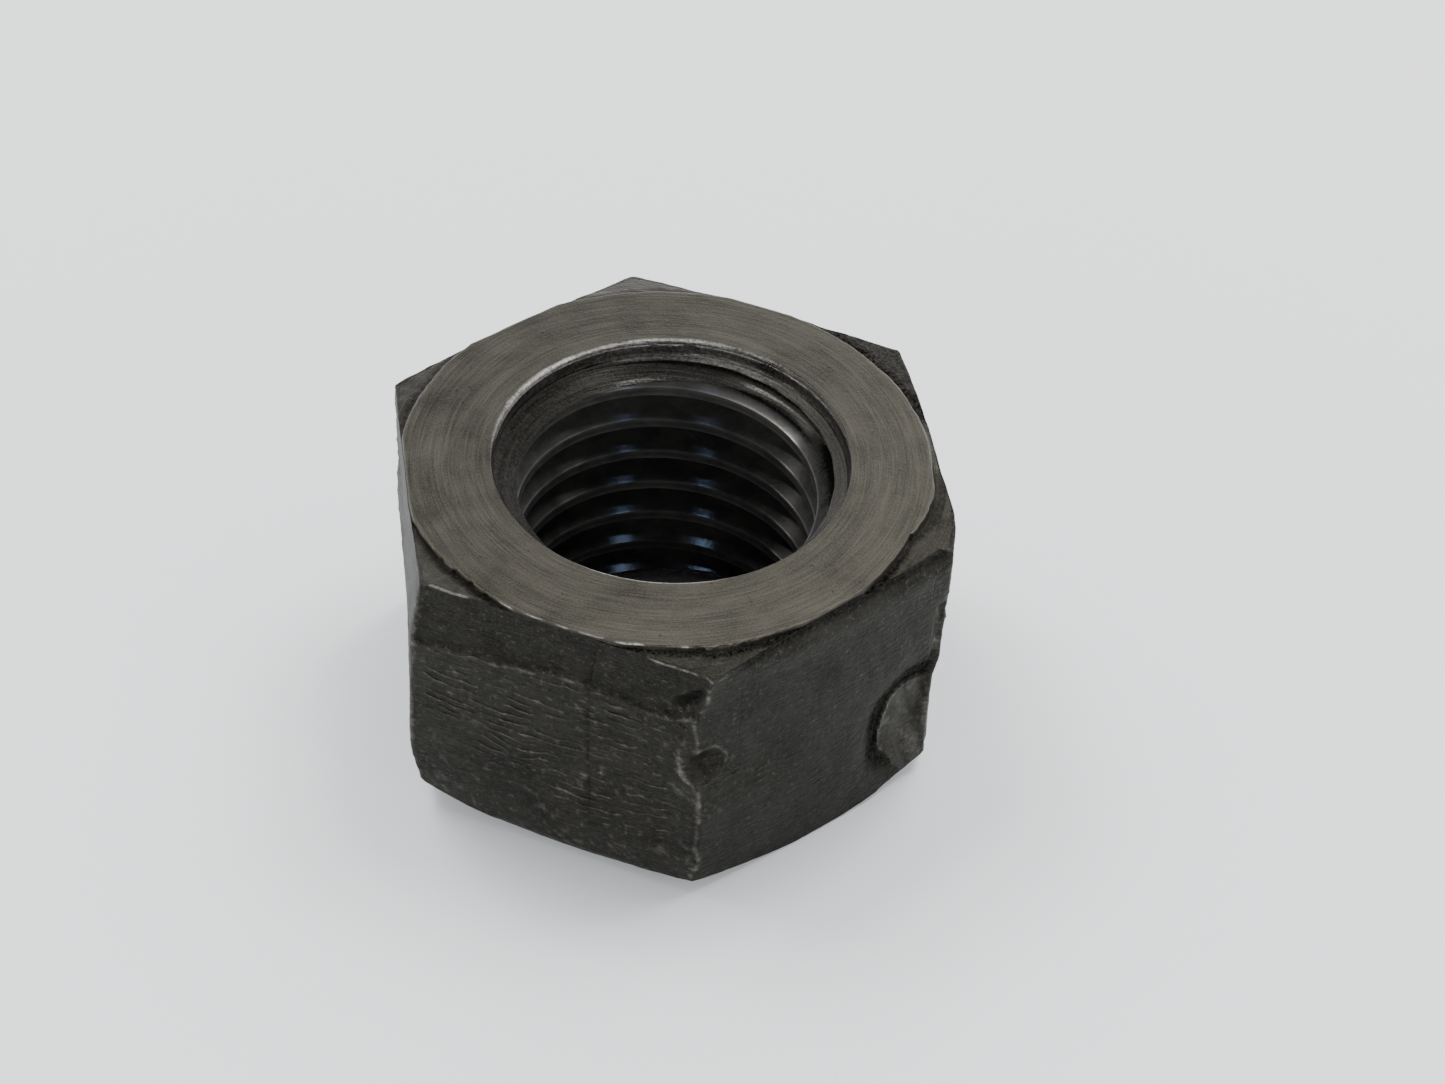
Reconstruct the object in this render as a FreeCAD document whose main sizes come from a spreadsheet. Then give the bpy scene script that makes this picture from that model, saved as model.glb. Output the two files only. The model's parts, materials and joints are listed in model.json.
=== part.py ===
"""M20 x 2.5 hexagon nut, chamfered on both faces, with its internal thread cut in full.

Frame: the origin is the middle of the bottom face and +Z runs up the thread axis.
Two flats face -Y and +Y, and two corners point along -X and +X.
"""

import FreeCAD, Part
import math
import os
import Sketcher
from FreeCAD import Vector

SHEET_NAME = "Sizes"

# Millimetres and degrees.
SIZES = {
    "across_flats": 30.0,
    "nut_height": 18.0,
    "thread_diameter": 20.0,
    "thread_pitch": 2.5,
    "thread_start": 1.05,          # height of the groove's middle above the bottom face, at +X
    "recess_diameter": 20.4,       # at the face
    "recess_foot_diameter": 20.3,
    "recess_depth": 1.0,
    "countersink_angle": 120.0,    # between opposite sides of the cones at both ends
    "bottom_countersink_diameter": 20.4,
    "face_diameter": 30.2,         # turned ring on top, a little wider than the flats
    "face_step": 0.25,             # height of that ring above the corners
    "top_chamfer_angle": 5.0,      # from the face
    "bottom_face_diameter": 30.2,
    "bottom_chamfer_angle": 30.0,  # from the face
    "clearance_past_corners": 1.5,
    "overlap_into_bore": 0.3,
}

# A 60 degree thread: the groove narrows to an eighth of the pitch at its root,
# and leaves a crest a quarter of the pitch wide.
FLANK_DEPTH = "(5 / 8 * cos(30 deg) * Sizes.thread_pitch)"
CREST_RADIUS = f"(Sizes.thread_diameter / 2 - {FLANK_DEPTH})"
CORNER_RADIUS = "(Sizes.across_flats / 2 / cos(30 deg))"
OUTSIDE = f"({CORNER_RADIUS} + Sizes.clearance_past_corners)"


def make_sheet(document):
    sheet = document.addObject("Spreadsheet::Sheet", SHEET_NAME)
    for row, (alias, value) in enumerate(SIZES.items(), start=1):
        sheet.set(f"A{row}", alias)
        sheet.set(f"B{row}", str(value))
        sheet.setAlias(f"B{row}", alias)
    document.recompute()
    return sheet


def origin_feature(body, role):
    for feature in body.Origin.OriginFeatures:
        if feature.Role == role:
            return feature
    raise RuntimeError(f"{body.Name} has no {role}")


def add_sketch(body, name, plane_role):
    sketch = body.newObject("Sketcher::SketchObject", name)
    sketch.AttachmentSupport = [(origin_feature(body, plane_role), "")]
    sketch.MapMode = "FlatFace"
    return sketch


def value_of(sketch, expression):
    found = sketch.evalExpression(expression)
    return float(getattr(found, "Value", found))


def bind(sketch, constraint, expression):
    """Adds a dimension and drives it with an expression of the sheet's cells."""
    index = sketch.addConstraint(constraint)
    sketch.setExpression(f"Constraints[{index}]", expression)


def add_outline(body, name, plane_role, corners):
    """Closed outline whose corners are (across, up) expressions from the sketch's origin."""
    sketch = add_sketch(body, name, plane_role)
    places = [Vector(value_of(sketch, across), value_of(sketch, up), 0) for across, up in corners]
    for number, start in enumerate(places):
        end = places[(number + 1) % len(places)]
        sketch.addGeometry(Part.LineSegment(start, end), False)
    for number in range(len(places)):
        following = (number + 1) % len(places)
        sketch.addConstraint(Sketcher.Constraint("Coincident", number, 2, following, 1))
    for number, (across, up) in enumerate(corners):
        place = places[number]
        bind(sketch, Sketcher.Constraint("DistanceX", -1, 1, number, 1, place.x), across)
        bind(sketch, Sketcher.Constraint("DistanceY", -1, 1, number, 1, place.y), up)
    return sketch


def add_hexagon(body):
    """Regular hexagon: equal chords of one circle, with the first corner on the X axis."""
    sketch = add_sketch(body, "hexagon", "XY_Plane")
    radius = value_of(sketch, CORNER_RADIUS)
    corners = [FreeCAD.Rotation(Vector(0, 0, 1), 60 * turn).multVec(Vector(radius, 0, 0))
               for turn in range(6)]
    for number, corner in enumerate(corners):
        sketch.addGeometry(Part.LineSegment(corner, corners[(number + 1) % 6]), False)
    circle = sketch.addGeometry(Part.Circle(Vector(0, 0, 0), Vector(0, 0, 1), radius), True)
    sketch.addConstraint(Sketcher.Constraint("Coincident", circle, 3, -1, 1))
    for number in range(6):
        sketch.addConstraint(Sketcher.Constraint("Coincident", number, 2, (number + 1) % 6, 1))
        sketch.addConstraint(Sketcher.Constraint("PointOnObject", number, 1, circle))
    for number in range(1, 6):
        sketch.addConstraint(Sketcher.Constraint("Equal", 0, number))
    sketch.addConstraint(Sketcher.Constraint("PointOnObject", 0, 1, -1))
    bind(sketch, Sketcher.Constraint("Radius", circle, radius), CORNER_RADIUS)
    return sketch


def checked(body, feature, grows):
    """Recomputes, and makes sure that the feature added or removed material."""
    before = 0.0 if feature.BaseFeature is None else feature.BaseFeature.Shape.Volume
    body.Document.recompute()
    gained = feature.Shape.Volume - before
    if (gained > 0) != grows or abs(gained) < 1:
        raise RuntimeError(f"{feature.Name} changed the volume by {gained:.2f} mm3")
    print(f"{feature.Name}: {gained:+.1f} mm3")
    return feature


def cut_round(body, name, corners):
    """Turns an outline in the XZ plane once round Z and cuts it away."""
    outline = add_outline(body, f"{name}_outline", "XZ_Plane", corners)
    groove = body.newObject("PartDesign::Groove", name)
    groove.Profile = outline
    groove.ReferenceAxis = (outline, ["V_Axis"])
    groove.Angle = 360
    groove.Refine = False
    return checked(body, groove, grows=False)


def cut_top_corners(body):
    """The step round the raised ring, and the shallow cone that runs down to the corners."""
    ring = "Sizes.face_diameter / 2"
    shelf = "Sizes.nut_height - Sizes.face_step"
    fall = f"({OUTSIDE} - {ring}) * tan(Sizes.top_chamfer_angle * 1 deg)"
    cut_round(body, "top_chamfer", [
        (ring, "Sizes.nut_height + 1"),
        (ring, shelf),
        (OUTSIDE, f"{shelf} - {fall}"),
        (OUTSIDE, "Sizes.nut_height + 1"),
    ])


def cut_bottom_corners(body):
    edge = "Sizes.bottom_face_diameter / 2"
    slope = "tan(Sizes.bottom_chamfer_angle * 1 deg)"
    cut_round(body, "bottom_chamfer", [
        (f"{edge} - 1 / {slope}", "-1"),
        (OUTSIDE, f"({OUTSIDE} - {edge}) * {slope}"),
        (OUTSIDE, "-1"),
    ])


def cut_bore(body):
    """Plain hole at the thread's crests, drawn as four quarter arcs round the Z axis."""
    sketch = add_sketch(body, "bore_outline", "XY_Plane")
    radius = value_of(sketch, CREST_RADIUS)
    circle = Part.Circle(Vector(0, 0, 0), Vector(0, 0, 1), radius)
    quarter = math.pi / 2
    for number in range(4):
        arc = Part.ArcOfCircle(circle, number * quarter, (number + 1) * quarter)
        sketch.addGeometry(arc, False)
        sketch.addConstraint(Sketcher.Constraint("Coincident", number, 3, -1, 1))
    for number in range(4):
        sketch.addConstraint(Sketcher.Constraint("Coincident", number, 2, (number + 1) % 4, 1))
        axis = -1 if number % 2 == 0 else -2
        sketch.addConstraint(Sketcher.Constraint("PointOnObject", number, 1, axis))
    bind(sketch, Sketcher.Constraint("Radius", 0, radius), CREST_RADIUS)
    bore = body.newObject("PartDesign::Pocket", "bore")
    bore.Profile = sketch
    bore.Type = "ThroughAll"
    bore.Reversed = True
    bore.Refine = False
    return checked(body, bore, grows=False)


def cut_countersinks(body):
    """On top a shallow recess with a steep wall and a cone under it, and a cone below."""
    rim = "Sizes.recess_diameter / 2"
    foot = "Sizes.recess_foot_diameter / 2"
    inner = f"({CREST_RADIUS} - Sizes.overlap_into_bore)"
    slope = "tan(Sizes.countersink_angle / 2 * 1 deg)"
    depth = f"(Sizes.recess_depth + ({foot} - {inner}) / {slope})"
    cut_round(body, "top_countersink", [
        (rim, "Sizes.nut_height"),
        (inner, "Sizes.nut_height"),
        (inner, f"Sizes.nut_height - {depth}"),
        (foot, "Sizes.nut_height - Sizes.recess_depth"),
    ])
    mouth = "Sizes.bottom_countersink_diameter / 2"
    cut_round(body, "bottom_countersink", [
        (mouth, "0"),
        (inner, f"({mouth} - {inner}) / {slope}"),
        (inner, "0"),
    ])


def cut_thread(body):
    """Right-hand groove, from below the bottom face to above the top face."""
    slope = "tan(30 deg)"
    root_half = "Sizes.thread_pitch / 16"
    inner = f"({CREST_RADIUS} - Sizes.overlap_into_bore)"
    mouth_half = f"({root_half} + ({FLANK_DEPTH} + Sizes.overlap_into_bore) * {slope})"
    root = "Sizes.thread_diameter / 2"
    below = "(Sizes.thread_start - 2 * Sizes.thread_pitch)"
    outline = add_outline(body, "thread_outline", "XZ_Plane", [
        (inner, f"{below} - {mouth_half}"),
        (root, f"{below} - {root_half}"),
        (root, f"{below} + {root_half}"),
        (inner, f"{below} + {mouth_half}"),
    ])
    thread = body.newObject("PartDesign::SubtractiveHelix", "thread")
    thread.Profile = outline
    thread.ReferenceAxis = (outline, ["V_Axis"])
    thread.Mode = "pitch-height-angle"
    thread.setExpression("Pitch", "Sizes.thread_pitch")
    thread.setExpression("Height", "Sizes.nut_height + 4 * Sizes.thread_pitch")
    thread.LeftHanded = False
    thread.Refine = False
    return checked(body, thread, grows=False)


def make_nut(document):
    body = document.addObject("PartDesign::Body", "hex_nut")
    body.Label = "hex_nut"
    body.Placement = FreeCAD.Placement()
    hexagon = add_hexagon(body)
    blank = body.newObject("PartDesign::Pad", "blank")
    blank.Profile = hexagon
    blank.setExpression("Length", "Sizes.nut_height")
    checked(body, blank, grows=True)
    cut_top_corners(body)
    cut_bottom_corners(body)
    cut_bore(body)
    cut_countersinks(body)
    cut_thread(body)
    return body


def check_document(document):
    for item in document.Objects:
        if "Invalid" in item.State or "Error" in item.State:
            raise RuntimeError(f"{item.Name} is {item.State}")


def write_step(piece):
    shape = piece.Shape
    if shape.isNull() or not shape.isValid():
        raise RuntimeError(f"{piece.Label} has no valid shape")
    os.makedirs("parts", exist_ok=True)
    shape.exportStep(f"parts/{piece.Label}.step")
    box = shape.BoundBox
    print(f"{piece.Label}: {len(shape.Solids)} solid, {shape.Volume:.0f} mm3, "
          f"{box.XLength:.2f} x {box.YLength:.2f} x {box.ZLength:.2f} mm")


document = FreeCAD.newDocument("hex_nut_m20")
make_sheet(document)
nut = make_nut(document)
document.recompute()
check_document(document)
write_step(nut)
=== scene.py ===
import itertools
import json
import math

import bpy
import numpy as np
from mathutils import Matrix, Vector


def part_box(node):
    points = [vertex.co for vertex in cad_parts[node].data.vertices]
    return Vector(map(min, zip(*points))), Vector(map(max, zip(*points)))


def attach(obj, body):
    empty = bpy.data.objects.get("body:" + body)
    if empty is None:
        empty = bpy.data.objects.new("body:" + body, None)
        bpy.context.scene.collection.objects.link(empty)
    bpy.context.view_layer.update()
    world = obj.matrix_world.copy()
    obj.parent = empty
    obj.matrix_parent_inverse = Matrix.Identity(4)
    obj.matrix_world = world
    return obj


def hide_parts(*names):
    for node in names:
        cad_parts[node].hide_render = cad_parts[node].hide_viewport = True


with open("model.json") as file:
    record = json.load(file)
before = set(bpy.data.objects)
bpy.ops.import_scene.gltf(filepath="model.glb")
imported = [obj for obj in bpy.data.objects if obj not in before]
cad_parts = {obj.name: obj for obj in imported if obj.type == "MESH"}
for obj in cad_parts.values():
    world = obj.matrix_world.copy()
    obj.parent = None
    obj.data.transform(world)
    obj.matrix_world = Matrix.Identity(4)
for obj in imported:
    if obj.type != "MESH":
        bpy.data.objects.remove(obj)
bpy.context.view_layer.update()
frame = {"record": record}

# The shape is worked out in millimetres. Corner 0 points along +X, corners run anticlockwise
# seen from above, and flat n lies between corners n and n + 1.
MM = 0.001
NODE = "hex_nut"
LOW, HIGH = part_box(NODE)
HEIGHT = (HIGH[2] - LOW[2]) / MM
APOTHEM = (HIGH[1] - LOW[1]) / MM / 2
HALF_FLAT = APOTHEM * math.tan(math.radians(30))

MOUNTS = {mount["name"]: mount for mount in frame["record"]["mounts"]}
CREST_RADIUS = MOUNTS["thread"]["dims"]["r_mm"]
PITCH = 2.5
FLANK_SLOPE = math.tan(math.radians(60))
ROOT_RADIUS = CREST_RADIUS + 5 / 8 * math.cos(math.radians(30)) * PITCH
THREAD_START = 1.05

# The top of the bore has a shallow recess with a steep wall and a 120 degree cone under it,
# and the bottom has a 120 degree cone. The recess was cut a little off centre, by (+X, +Y),
# and its rim is rounded over.
RECESS_RADIUS = 10.2
RECESS_FOOT = 10.15
RECESS_DEPTH = 1.0
RECESS_OFFSET = (0.12, 0.2)
BOTTOM_CONE_RADIUS = 10.2
RIM_WIDTH = 0.36
RIM_DROP = 0.2
CONE_ROWS = 22
WALL_ROWS = 8

# The turned ring on top, which is off centre too, and the chamfers outside it.
FACE_RADIUS = 15.1
FACE_OFFSET = (-0.19, -0.07)
TOP_SLOPE = math.tan(math.radians(5))
BOTTOM_SLOPE = math.tan(math.radians(30))

# Inside this radius the face has the bore's columns, and outside it the flats' columns.
JOIN_RADIUS = 13.85
JOIN_GAP = 0.1

FRONT_LEFT = 4
FRONT_RIGHT = 5
# Columns of points on a front flat, on each other flat and round the bore.
FINE_COLUMNS = 132
COARSE_COLUMNS = 58
BORE_COLUMNS = 168


# -------------------- noise and small curves

def lattice_noise(points, seed):
    """Smooth noise from -1 to 1 at each row of points, with one lump to a unit."""
    cell = np.floor(points).astype(np.int64)
    part = points - cell
    part = part * part * (3 - 2 * part)
    total = np.zeros(len(points))
    for corner in itertools.product((0, 1), repeat=3):
        key = (cell + np.array(corner)) @ np.array([374761393, 668265263, 1442695041])
        key = key + seed * 7919
        key = (key ^ (key >> 13)) * 1274126177
        key = key ^ (key >> 16)
        value = (key & 0xFFFF) / 32767.5 - 1
        weight = np.prod(np.where(corner, part, 1 - part), axis=1)
        total += value * weight
    return total


def noise_at(seed, *coordinates):
    """Lattice noise over up to three arrays of one shape."""
    shape = coordinates[0].shape
    spread = [np.broadcast_to(c, shape) for c in coordinates]
    spread += [np.zeros(shape)] * (3 - len(spread))
    points = np.stack(spread, axis=-1).reshape(-1, 3)
    return lattice_noise(points, seed).reshape(shape)


def fractal(seed, size, octaves, *coordinates):
    """Noise whose largest lumps are size millimetres across, with finer ones on them."""
    total = 0
    for octave in range(octaves):
        fine = [c / size * 2 ** octave for c in coordinates]
        total = total + noise_at(seed + octave, *fine) / 2 ** octave
    return total / 1.6


def smooth(value, start, end):
    """0 before start and 1 after end, with a soft ramp between them."""
    part = np.clip((value - start) / (end - start), 0, 1)
    return part * part * (3 - 2 * part)


def hump(value, middle, width):
    """1 at the middle, with a bell-shaped fall on both sides."""
    return np.exp(-((value - middle) / width) ** 2)


def window(value, start, end, edge):
    """1 between start and end, with a soft ramp at each of them."""
    return smooth(value, start - edge, start + edge) * (1 - smooth(value, end - edge, end + edge))


def depth_inside(x, z, outline):
    """Distance of each point inside a closed outline, and minus its distance outside."""
    nearest = np.full(x.shape, 1e9)
    inside = np.zeros(x.shape, bool)
    for (ax, az), (bx, bz) in zip(outline, outline[1:] + outline[:1]):
        run = np.array([bx - ax, bz - az])
        part = ((x - ax) * run[0] + (z - az) * run[1]) / (run @ run)
        part = np.clip(part, 0, 1)
        nearest = np.minimum(nearest, np.hypot(x - ax - part * run[0], z - az - part * run[1]))
        if az != bz:
            crosses = (az > z) != (bz > z)
            inside ^= crosses & (x < ax + (z - az) / (bz - az) * run[0])
    return np.where(inside, nearest, -nearest)


# -------------------- the outside: its columns

# How far each corner of the worn nut stands from the true hexagon: (height, +X, +Y).
CORNER_SHIFTS = {
    0: [(0, -0.3, -0.4), (4, -0.35, -0.45), (7.6, -0.3, -0.4), (8.8, -0.1, -0.15),
        (13, 0.0, 0.0), (15, 0.06, 0.12), (18, 0.05, 0.1)],
    1: [(0, -0.15, 0.0), (9, 0.05, 0.0), (18, 0.0, -0.05)],
    2: [(0, 0.1, -0.05), (9, 0.0, 0.0), (18, 0.05, 0.0)],
    3: [(0, 0.28, 0.0), (3, 0.25, 0.0), (7.5, -0.08, 0.0), (9, -0.15, 0.0), (10.5, -0.1, 0.0),
        (11.5, 0.05, 0.0), (18, 0.0, 0.0)],
    4: [(0, 0.35, 0.3), (1.5, -0.05, 0.15), (3, -0.5, 0.05), (5, -0.76, 0.0), (8.5, -0.65, 0.0),
        (11, -0.55, 0.0), (13.8, -0.5, 0.0), (16, -0.1, 0.05), (18, 0.25, 0.1)],
    5: [(0, -0.5, 0.1), (2.1, -0.3, 0.0), (4.8, -0.09, 0.0), (6.5, -0.09, 0.0), (8.8, -0.4, 0.0),
        (11.4, -0.45, 0.0), (13.2, -0.5, 0.0), (15, -0.43, 0.0), (16.3, 0.0, 0.0),
        (18, 0.4, 0.0)],
}
# How far each corner's top and bottom stand above the chamfers, the radius it is rounded to,
# and how far along the flat a radius of 1 reaches.
CORNER_TOPS = (0.0, 0.0, -0.15, -0.15, 0.3, 0.0)
CORNER_BOTTOMS = (-0.1, 0.0, 0.0, 0.0, 0.5, -0.35)
CORNER_ROUNDING = (0.9, 0.5, 0.5, 0.4, 0.5, 0.3)
ROUNDING_REACH = 0.577


def outside_columns():
    """The flat's number and the distance along it from its middle, for every column."""
    flats = []
    along = []
    for flat in range(6):
        count = FINE_COLUMNS if flat in (FRONT_LEFT, FRONT_RIGHT) else COARSE_COLUMNS
        even = np.linspace(-1, 1, count + 1)[:-1]
        crowded = np.sign(even) * (1 - (1 - np.abs(even)) ** 1.15)
        flats.append(np.full(count, flat))
        along.append(HALF_FLAT * crowded)
    return np.concatenate(flats), np.concatenate(along)


# One value to a column: the place on the true hexagon and on the turned ring, the angle in
# degrees from 0 and from -180, the nearest corner and the distance to it, the share of the way
# along the flat, and PAST_RING, which is 1 on the corners outside the ring and 0 elsewhere.
FLAT, ALONG = outside_columns()
MIDDLE = np.radians(60.0 * FLAT + 30)
NORMAL = np.stack([np.cos(MIDDLE), np.sin(MIDDLE)], axis=1)
ANGLE = MIDDLE + np.arctan2(ALONG, APOTHEM)
RADIUS = APOTHEM / np.cos(ANGLE - MIDDLE)
X, Y = RADIUS * np.cos(ANGLE), RADIUS * np.sin(ANGLE)
RING_X, RING_Y = FACE_RADIUS * np.cos(ANGLE), FACE_RADIUS * np.sin(ANGLE)
DEGREES = np.degrees(ANGLE) % 360
FROM_X_AXIS = (DEGREES + 180) % 360 - 180
NEAR = np.where(ALONG < 0, FLAT, (FLAT + 1) % 6)
TO_CORNER = HALF_FLAT - np.abs(ALONG)
SHARE = (ALONG + HALF_FLAT) / (2 * HALF_FLAT)
PAST_RING = smooth(RADIUS, FACE_RADIUS - 0.08, FACE_RADIUS + 0.1)


def corner_shift(height):
    """The pull of the two nearest corners on each point, at heights (rows, columns)."""
    shifts = []
    for corner in range(6):
        table = np.array(CORNER_SHIFTS[corner])
        shifts.append([np.interp(height, table[:, 0], table[:, axis]) for axis in (1, 2)])
    shifts = np.array(shifts)
    columns = np.arange(height.shape[1])
    first = shifts[FLAT, :, :, columns]
    second = shifts[(FLAT + 1) % 6, :, :, columns]
    share = SHARE[:, None, None]
    blend = first * (1 - share) ** 2 + second * share ** 2
    return blend.transpose(2, 0, 1)


def outward():
    """The way each column's surface is pushed: square to the flat, diagonal at a corner."""
    corner_angle = np.radians(60.0 * NEAR)
    diagonal = np.stack([np.cos(corner_angle), np.sin(corner_angle)], axis=1)
    share = (1 - smooth(TO_CORNER, 0.0, 0.8))[:, None]
    way = NORMAL * (1 - share) + diagonal * share
    return way / np.linalg.norm(way, axis=1)[:, None]


# -------------------- the outside: its rows

# The cutter that made the flats dragged and tore the steel into short ledges that face up.
# Each ledge has rows of its own, at these shares of the way from its foot to its lip. The
# ledges end just under the top edge, where closer rows carry its burrs.
LEDGE_ROWS = (0.0, 0.35, 0.7, 0.93)
LEDGES = 30
LEDGES_TOP = 0.978
EDGE_ROWS = (0.985, 0.991, 0.996, 1.0)


def side_rows():
    """(share of the height, share of the ledge) of every row of the sides, from the top."""
    rows = [(share, 0.0) for share in EDGE_ROWS]
    for ledge in range(LEDGES):
        rows += [((ledge + part) / LEDGES * LEDGES_TOP, part) for part in LEDGE_ROWS]
    rows.sort(reverse=True)
    return np.array(rows)


def ledge_drift(share):
    """How far the rows wander up and down, in millimetres."""
    x, y, z = X + 0 * share, Y + 0 * share, share * HEIGHT
    drift = 0.35 * noise_at(11, x / 2.2, y / 2.2, z / 2.4)
    drift += 0.13 * noise_at(12, x / 0.55, y / 0.55, z / 0.7)
    return drift * window(share, 0.05, 0.93, 0.05)


def ledge_presence(share, height):
    """How strongly each flat is torn, from 0 to 1, broken into short lengths."""
    along = ALONG + 0 * height
    x, y = X + 0 * share, Y + 0 * share
    ledge = np.floor(share * LEDGES / LEDGES_TOP + 0.04)
    short = smooth(noise_at(14, x / 0.9, y / 0.9, ledge * 3.7), -0.25, 0.25)
    patch = smooth(fractal(15, 2.6, 2, x, y, height), -0.3, 0.3)
    patch = patch * (0.3 + 0.7 * smooth(noise_at(16, x / 0.5, y / 0.5, height / 5), -0.4, 0.2))
    where = 0.6 * window(height, 3.0, 14.0, 1.5) * (0.25 + 0.75 * patch)
    left = window(height, 4.2 - 0.12 * along, 13.8, 1.2) * window(along, -8.0, 6.8, 0.6)
    left = left * (0.45 + 0.55 * patch)
    right = (0.12 + 0.4 * window(along, -9, -1, 2) * window(height, 4, 12, 1.5)) * patch
    where = np.where(FLAT == FRONT_LEFT, left, where)
    where = np.where(FLAT == FRONT_RIGHT, right, where)
    return where * short


# -------------------- marks on the two front flats

# Outlines of the chip and the notch, as (distance along the flat, height).
CHIP_OUTLINE = [(11.0, 9.9), (8.2, 9.9), (6.0, 10.1), (4.7, 9.3), (3.8, 8.5), (3.3, 7.2),
                (3.2, 5.8), (3.3, 4.0), (3.8, 2.6), (4.6, 1.4), (5.4, 0.2), (6.0, -2.0),
                (11.0, -2.0)]
NOTCH_OUTLINE = [(9.4, 17.4), (8.6, 16.9), (7.6, 16.3), (6.9, 15.4), (6.8, 14.6), (7.6, 14.5),
                 (8.4, 15.1), (9.4, 15.9)]


def notch_marks(inside, height):
    """Relief and wear of the notch, from how far inside its outline each point lies."""
    ledge = hump(inside, -0.12, 0.1) * (1 - smooth(height, 15.5, 16.2))
    relief = 0.07 * ledge - 0.36 * smooth(inside, -0.05, 0.6)
    return relief, 0.35 * ledge - 0.4 * smooth(inside, 0.0, 0.5)


def front_left_marks(along, height):
    """Flat 4: a smooth band pressed in under the face, then the torn middle, then smooth."""
    ragged = 0.3 * fractal(21, 1.2, 2, along, 0.2 * height)
    band_foot = 14.1 + 0.3 * np.sin(along * 0.75 + 1.0) - 0.9 * smooth(along, -4, -8) + ragged
    band = smooth(height, band_foot - 0.08, band_foot + 0.14)
    broken = smooth(fractal(24, 1.0, 2, along, 0 * height), -0.4, 0.3)
    lip = hump(height, band_foot - 0.2, 0.13) * (0.25 + 0.75 * broken)
    scored = hump(along + 0.3 * ragged, 1.9, 0.1) * window(height, 4.5, 16.8, 1.5)
    seam = hump(along, 7.2, 0.12) * window(height, 6, 13.6, 0.4)
    strip = window(along, 7.3, 8.2, 0.25) * window(height, 7.5, 12.0, 0.8)
    inside = depth_inside(along + ragged * 0.5, height + ragged * 0.4, NOTCH_OUTLINE)
    relief, wear_and_painted_light = notch_marks(inside, height)
    crack = hump(height, 14.15 - 0.5 * (along - 6.4), 0.07) * window(along, 6.4, 8.0, 0.1)
    dimple = hump(np.hypot(along - 7.45, height - 12.75), 0, 0.32)
    foot = 1 - smooth(height, 0, 1.3)
    relief += (-0.19 * band + 0.03 * lip - 0.06 * scored - 0.05 * seam + 0.04 * strip
               - 0.07 * crack - 0.14 * dimple - 0.36 * foot ** 2)
    low = 1 - smooth(height, 2.0, 5.0)
    wear_and_painted_light += (0.08 * low + 0.25 * lip + 0.06 * strip - 0.3 * scored - 0.5 * crack
             - 0.3 * dimple - 0.25 * band)
    return relief, wear_and_painted_light


def chip_marks(inside, height):
    """Relief, wear and painted shade of the chip, from how far inside its outline each point
    lies.
    """
    wall_width = 1.4 + 0.55 * smooth(height, 3.5, 7.5)
    wall = np.clip(inside / wall_width, 0, 1) ** 1.4
    on_floor = smooth(inside, wall_width - 0.02, wall_width + 0.12)
    relief = (-0.66 * wall + 0.2 * on_floor) * (0.08 + 0.92 * smooth(height, 0.5, 4.5))
    rim = hump(inside, wall_width + 0.12, 0.1)
    relief += 0.08 * rim * window(height, 3.2, 8.0, 0.4)
    # The chip's wall faces down and away from the light and gets painted shade.
    shaded_chip_wall = smooth(inside, -0.2, 0.8) * (1 - on_floor) * smooth(height, 0.5, 3.0)
    wear_and_painted_light = 0.5 * rim * window(height, 4.5, 7.5, 0.5) + 0.22 * on_floor - 0.7 * shaded_chip_wall
    return relief, wear_and_painted_light


def front_right_marks(along, height):
    """Flat 5: smoother and rolled over at the top, with a chip out of its lower corner."""
    ragged = 0.16 * fractal(22, 0.9, 3, along, height)
    inside = depth_inside(along + ragged, height + ragged, CHIP_OUTLINE)
    relief, wear_and_painted_light = chip_marks(inside, height)
    crown = 0.22 * (1 - (along / HALF_FLAT) ** 2)
    relief += crown * (1 - smooth(inside, -1.2, 1.0))
    rolled = smooth(height, 15.9, 17.4) ** 2 * smooth(along, -8, -3)
    relief -= 0.45 * rolled
    bevel = smooth(along, 7.6, 8.2) * window(height, 9.6, 13.6, 0.25)
    relief -= 0.3 * bevel
    slant = fractal(23, 0.7, 2, along + 0.3 * height, (height - 0.3 * along) * 0.3)
    relief += 0.012 * slant
    lip = hump(height, 16.95 + 0.7 * ragged, 0.12) * window(along, -6.5, 5.0, 1.0)
    lip = lip * (0.4 + 0.6 * smooth(fractal(26, 0.6, 2, along, height), -0.3, 0.5))
    relief += 0.035 * lip
    # Painted shade along the top of the flat, under the edge of the turned ring.
    shade_under_ring = window(height, 17.1, 18.3, 0.25) * window(along, -7.0, 8.5, 1.0)
    smudge = smooth(fractal(25, 2.2, 2, along, height), 0.0, 0.6) * window(height, 11, 17, 1.5)
    wear_and_painted_light += 0.3 * bevel + 0.12 * slant + 0.07 * lip - 0.6 * shade_under_ring - 0.15 * smudge - 0.1
    return relief, wear_and_painted_light


CRATER_CENTRE = (8.6, -14.4, 10.5)
CRATER_RADIUS = 1.28


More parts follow.
